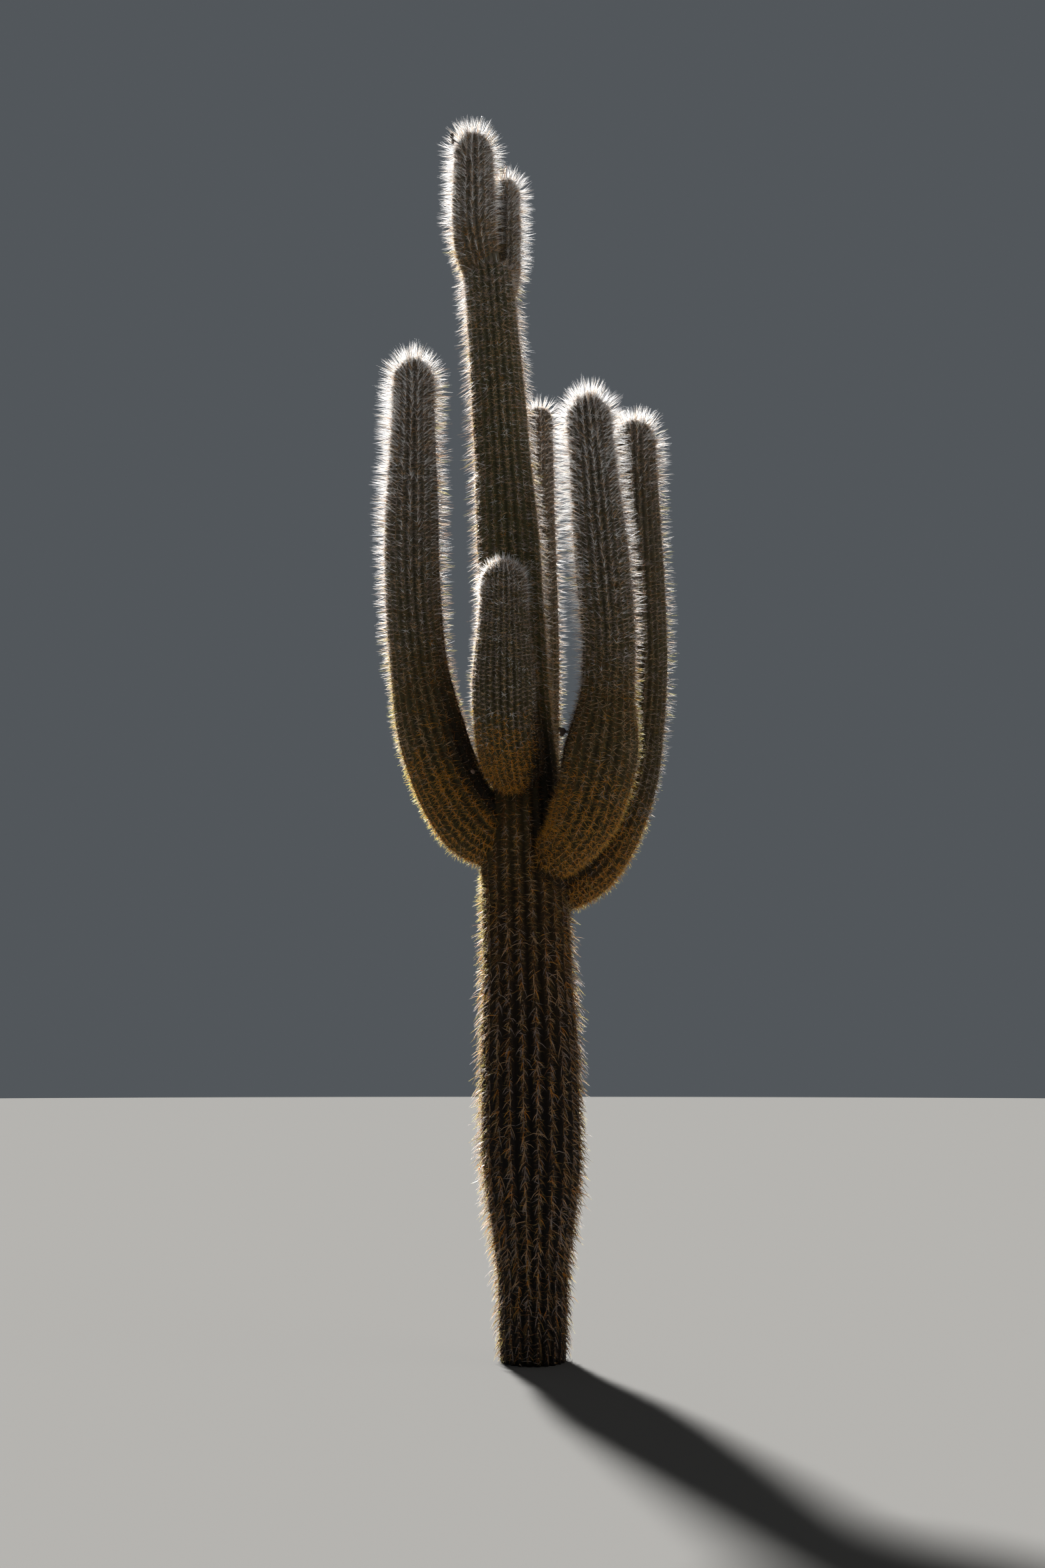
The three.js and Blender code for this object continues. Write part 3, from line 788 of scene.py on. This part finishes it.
SKIN_SHINE = 0.25
SKIN_ROUGHNESS = (0.55, 0.9)
# Painted shade and light: the skin's colour is darkened in furrows, lightened on crests and darkened
# in crevices between stems.
PAINTED_RIB_SHADING = (0.6, 1.15)
CREVICE_PAINTED_SHADE = (1, 0.2)
MOTTLE_SCALE = 14
MOTTLE_DETAIL = 6
MOTTLE_SHIFT = 0.12
GRAIN_SCALE = 160
GRAIN_DETAIL = 4
GRAIN_STRENGTH = 0.5
GRAIN_HEIGHT = 0.003


def add_noise(nodes, links, place, scale, detail):
    noise_node = nodes.new("ShaderNodeTexNoise")
    noise_node.inputs["Scale"].default_value = scale
    noise_node.inputs["Detail"].default_value = detail
    links.new(place.outputs["Object"], noise_node.inputs["Vector"])
    return noise_node.outputs["Fac"]


def add_range(nodes, links, value, limits):
    """Brings a value from 0 to 1 between the limits."""
    span = nodes.new("ShaderNodeMapRange")
    span.inputs["To Min"].default_value, span.inputs["To Max"].default_value = limits
    links.new(value, span.inputs["Value"])
    return span.outputs["Result"]


def marked(nodes, name):
    """What the skin's mesh says under this name."""
    mark = nodes.new("ShaderNodeAttribute")
    mark.attribute_name = name
    return mark.outputs["Fac"]


def add_ramp(nodes, links, value, tones):
    ramp = nodes.new("ShaderNodeValToRGB")
    elements = ramp.color_ramp.elements
    while len(elements) < len(tones):
        elements.new(0.5)
    for element, (share, colour) in zip(elements, tones):
        element.position = share
        element.color = (*colour, 1)
    links.new(value, ramp.inputs["Fac"])
    return ramp.outputs["Color"]


def skin_material(name, tones):
    """Skin that changes with height, with painted shade in furrows and crevices and painted light on
    crests, mottled and finely wrinkled.
    """
    material, shader = new_material(name, tones[0][1], SKIN_ROUGHNESS[0])
    shader.inputs["Specular IOR Level"].default_value = SKIN_SHINE
    nodes, links = material.node_tree.nodes, material.node_tree.links
    place = nodes.new("ShaderNodeTexCoord")
    split = nodes.new("ShaderNodeSeparateXYZ")
    links.new(place.outputs["Object"], split.inputs[0])
    height = nodes.new("ShaderNodeMapRange")
    height.inputs["From Max"].default_value = SKIN_HEIGHT
    links.new(split.outputs["Z"], height.inputs["Value"])
    mottle = add_noise(nodes, links, place, MOTTLE_SCALE, MOTTLE_DETAIL)
    shifted = nodes.new("ShaderNodeMath")
    shifted.operation = "MULTIPLY_ADD"
    shifted.inputs[1].default_value = MOTTLE_SHIFT
    links.new(mottle, shifted.inputs[0])
    links.new(height.outputs["Result"], shifted.inputs[2])
    colour = add_ramp(nodes, links, shifted.outputs[0], tones)
    # Painted shade and light: darker in furrows and crevices, lighter on crests.
    shaded = nodes.new("ShaderNodeMath")
    shaded.operation = "MULTIPLY"
    links.new(add_range(nodes, links, marked(nodes, "crest"), PAINTED_RIB_SHADING), shaded.inputs[0])
    links.new(add_range(nodes, links, marked(nodes, "crevice"), CREVICE_PAINTED_SHADE), shaded.inputs[1])
    painted_shade_colour = nodes.new("ShaderNodeVectorMath")
    painted_shade_colour.operation = "SCALE"
    links.new(colour, painted_shade_colour.inputs[0])
    links.new(shaded.outputs[0], painted_shade_colour.inputs["Scale"])
    links.new(painted_shade_colour.outputs["Vector"], shader.inputs["Base Color"])
    bump = nodes.new("ShaderNodeBump")
    bump.inputs["Strength"].default_value = GRAIN_STRENGTH
    bump.inputs["Distance"].default_value = GRAIN_HEIGHT
    links.new(add_noise(nodes, links, place, GRAIN_SCALE, GRAIN_DETAIL), bump.inputs["Height"])
    links.new(bump.outputs["Normal"], shader.inputs["Normal"])
    links.new(add_range(nodes, links, mottle, SKIN_ROUGHNESS), shader.inputs["Roughness"])
    return material


# Dry surfaces: two tones and how fast they take turns.
DRY_ROUGHNESS = 0.85
DRY_DETAIL = 2
DRY_TURNS = (0.35, 0.65)
WITHERED = dict(dark=(0.025, 0.016, 0.012), light=(0.1, 0.06, 0.035), scale=60)
CORK = dict(dark=(0.3, 0.19, 0.13), light=(0.5, 0.33, 0.24), scale=90)


def dry_material(name, dark, light, scale):
    """A dry surface that wanders between two tones."""
    material, shader = new_material(name, light, DRY_ROUGHNESS)
    nodes, links = material.node_tree.nodes, material.node_tree.links
    place = nodes.new("ShaderNodeTexCoord")
    mottle = add_noise(nodes, links, place, scale, DRY_DETAIL)
    colour = add_ramp(nodes, links, mottle, list(zip(DRY_TURNS, (dark, light))))
    links.new(colour, shader.inputs["Base Color"])
    return material


# Withered flower and fruit, as in the solids, and a corky scar. Each is on a stem, this far below its
# tip and at an angle round it, and stand is how far out of the skin its middle is. Each lump has its
# offsets up and out from there, and its half sizes across and up.
GROWTHS = {
    "main_head_withered_flower": dict(
        stem="main_head", below=0.08, angle=10, stand=0.046,
        lumps=[(0.022, 0.004, 0.013, 0.02), (-0.019, -0.002, 0.012, 0.02)],
    ),
    "near_right_arm_withered_fruit": dict(
        stem="near_right_arm", below=2.14, angle=229, stand=0.034,
        lumps=[(0, 0, 0.018, 0.02), (-0.02, 0.006, 0.012, 0.013), (0.012, 0.018, 0.01, 0.011)],
    ),
}
WRINKLE = 0.0035
WRINKLE_SHARE = 0.25
WRINKLE_SCALE = 110
WRINKLE_SEED = 1
BALL_SUBDIVISIONS = 3
STALK_RADIUS = 0.005
STALK_SIDES = 8
SCAR = dict(stem="left_arm", below=2.736, angle=128, across=0.015, out=0.00675)


def add_ball(form, centre, turn, across, up):
    """A wrinkled ball, with its middle and its half sizes, into a bmesh."""
    placed = Matrix.LocRotScale(Vector(centre), turn, Vector((across, across, up)))
    made = bmesh.ops.create_icosphere(
        form, subdivisions=BALL_SUBDIVISIONS, radius=1, matrix=placed,
    )
    for corner in made["verts"]:
        wrinkle = min(WRINKLE, across * WRINKLE_SHARE)
        corner.co += noise.noise_vector(corner.co * WRINKLE_SCALE) * wrinkle


def object_of(name, form):
    """A smooth object of a bmesh, which it frees."""
    mesh = bpy.data.meshes.new(name)
    form.to_mesh(mesh)
    form.free()
    for face in mesh.polygons:
        face.use_smooth = True
    made = bpy.data.objects.new(name, mesh)
    bpy.context.scene.collection.objects.link(made)
    return made


def place_on(stem, below, angle):
    """A place on a rib crest so far below the stem's tip, and the way out of the skin there."""
    foot, out, _ = stem.surface(np.array([stem.length - below]), np.array([math.radians(angle)]))
    return foot[0], out[0]


def make_growths(stems, withered, cork):
    """The small growths, with wrinkles that are the same on each run."""
    noise.seed_set(WRINKLE_SEED)
    for name, growth in GROWTHS.items():
        foot, out = place_on(stems[growth["stem"]], growth["below"], growth["angle"])
        form = bmesh.new()
        for rise, further, across, up in growth["lumps"]:
            middle = foot + out * (growth["stand"] + further) + UP * rise
            add_ball(form, middle, None, across, up)
        turn = Vector(out).to_track_quat("Z", "Y")
        stalk = Matrix.LocRotScale(Vector(foot + out * growth["stand"] / 2), turn, None)
        bmesh.ops.create_cone(
            form, cap_ends=True, segments=STALK_SIDES, radius1=STALK_RADIUS, radius2=STALK_RADIUS,
            depth=growth["stand"], matrix=stalk,
        )
        finish_piece(object_of(name, form), withered)
    foot, out = place_on(stems[SCAR["stem"]], SCAR["below"], SCAR["angle"])
    form = bmesh.new()
    add_ball(form, foot, Vector(out).to_track_quat("Z", "Y"), SCAR["across"], SCAR["out"])
    finish_piece(object_of("left_arm_scar", form), cork)


# Stage

FLOOR_RADIUS = 90
FLOOR_SIDES = 96
FLOOR_COLOUR = (0.15, 0.147, 0.14)
FLOOR_ROUGHNESS = 0.9

# The photo's view: a 35 mm lens at eye height, 9 m in front of the plant and tilted up.
LENS = 35
SENSOR_WIDTH = 36
FARTHEST_SEEN = 500
CAMERA_PLACE = (-0.06, -9.01, 1.6)
CAMERA_TILT = 100.67

SURROUND = (0.085, 0.095, 0.105)


def make_floor():
    form = bmesh.new()
    bmesh.ops.create_circle(form, cap_ends=True, segments=FLOOR_SIDES, radius=FLOOR_RADIUS)
    mesh = bpy.data.meshes.new("floor")
    form.to_mesh(mesh)
    form.free()
    floor = bpy.data.objects.new("floor", mesh)
    bpy.context.scene.collection.objects.link(floor)
    material, shader = new_material("floor", FLOOR_COLOUR, FLOOR_ROUGHNESS)
    shader.inputs["Specular IOR Level"].default_value = 0
    mesh.materials.append(material)


def make_camera():
    camera = bpy.data.cameras.new("camera")
    camera.lens = LENS
    camera.sensor_width = SENSOR_WIDTH
    camera.clip_end = FARTHEST_SEEN
    holder = bpy.data.objects.new("camera", camera)
    holder.location = CAMERA_PLACE
    holder.rotation_euler = (math.radians(CAMERA_TILT), 0, 0)
    bpy.context.scene.collection.objects.link(holder)
    bpy.context.scene.camera = holder


def make_sun(name, azimuth, elevation, strength, softness, colour):
    """A distant lamp at an azimuth from +Y towards -X, seen from the plant, in degrees."""
    lamp = bpy.data.lights.new(name, "SUN")
    lamp.energy = strength
    lamp.angle = math.radians(softness)
    lamp.color = colour
    turn, rise = math.radians(azimuth), math.radians(elevation)
    level = math.cos(rise)
    towards = Vector((-math.sin(turn) * level, math.cos(turn) * level, math.sin(rise)))
    holder = bpy.data.objects.new(name, lamp)
    holder.rotation_mode = "QUATERNION"
    holder.rotation_quaternion = towards.to_track_quat("Z", "Y")
    bpy.context.scene.collection.objects.link(holder)


def make_light():
    """A strong sun behind the plant, a faint warm light on its face and an even grey surround."""
    make_sun("key", azimuth=16.5, elevation=35.5, strength=16, softness=6, colour=(1, 1, 1))
    make_sun("fill", azimuth=248, elevation=28, strength=0.35, softness=50, colour=(1, 0.88, 0.76))
    world = bpy.data.worlds.new("surround")
    world.use_nodes = True
    background = world.node_tree.nodes["Background"]
    background.inputs["Color"].default_value = (*SURROUND, 1)
    background.inputs["Strength"].default_value = 1
    bpy.context.scene.world = world
    bpy.context.scene.view_settings.view_transform = "Standard"


def main():
    make_camera()
    make_light()
    make_floor()
    trunk = make_trunk()
    stems = {"trunk": trunk}
    for name, limb in LIMBS.items():
        stems[name] = make_limb(name, limb, trunk)
    materials = {slot: skin_material(slot, tones) for slot, tones in SKIN_TONES.items()}
    for name, colour in SPINE_COLOURS.items():
        materials[f"spines {name}"] = spine_material(f"spines {name}", colour)
    felt = spine_material("areole felt", FELT)
    for seed, stem in enumerate(stems.values()):
        rng = np.random.default_rng(seed)
        others = [other for other in stems.values() if other is not stem]
        make_skin(stem, others, materials, rng)
        at, angle = areole_places(stem, rng)
        patch = PATCH_SPREAD * wobble(at, angle, rng)
        foot, out, crest = stem.surface(at, angle)
        open_air = clearance(others, foot) > -BURIED
        at, patch = at[open_air], patch[open_air]
        foot, out, crest = foot[open_air], out[open_air], crest[open_air]
        make_areoles(stem, foot, out, crest, felt, rng)
        make_spines(stem, others, foot, out, crest, at, patch, materials, rng)
    make_growths(stems, dry_material("withered", **WITHERED), dry_material("cork", **CORK))


main()
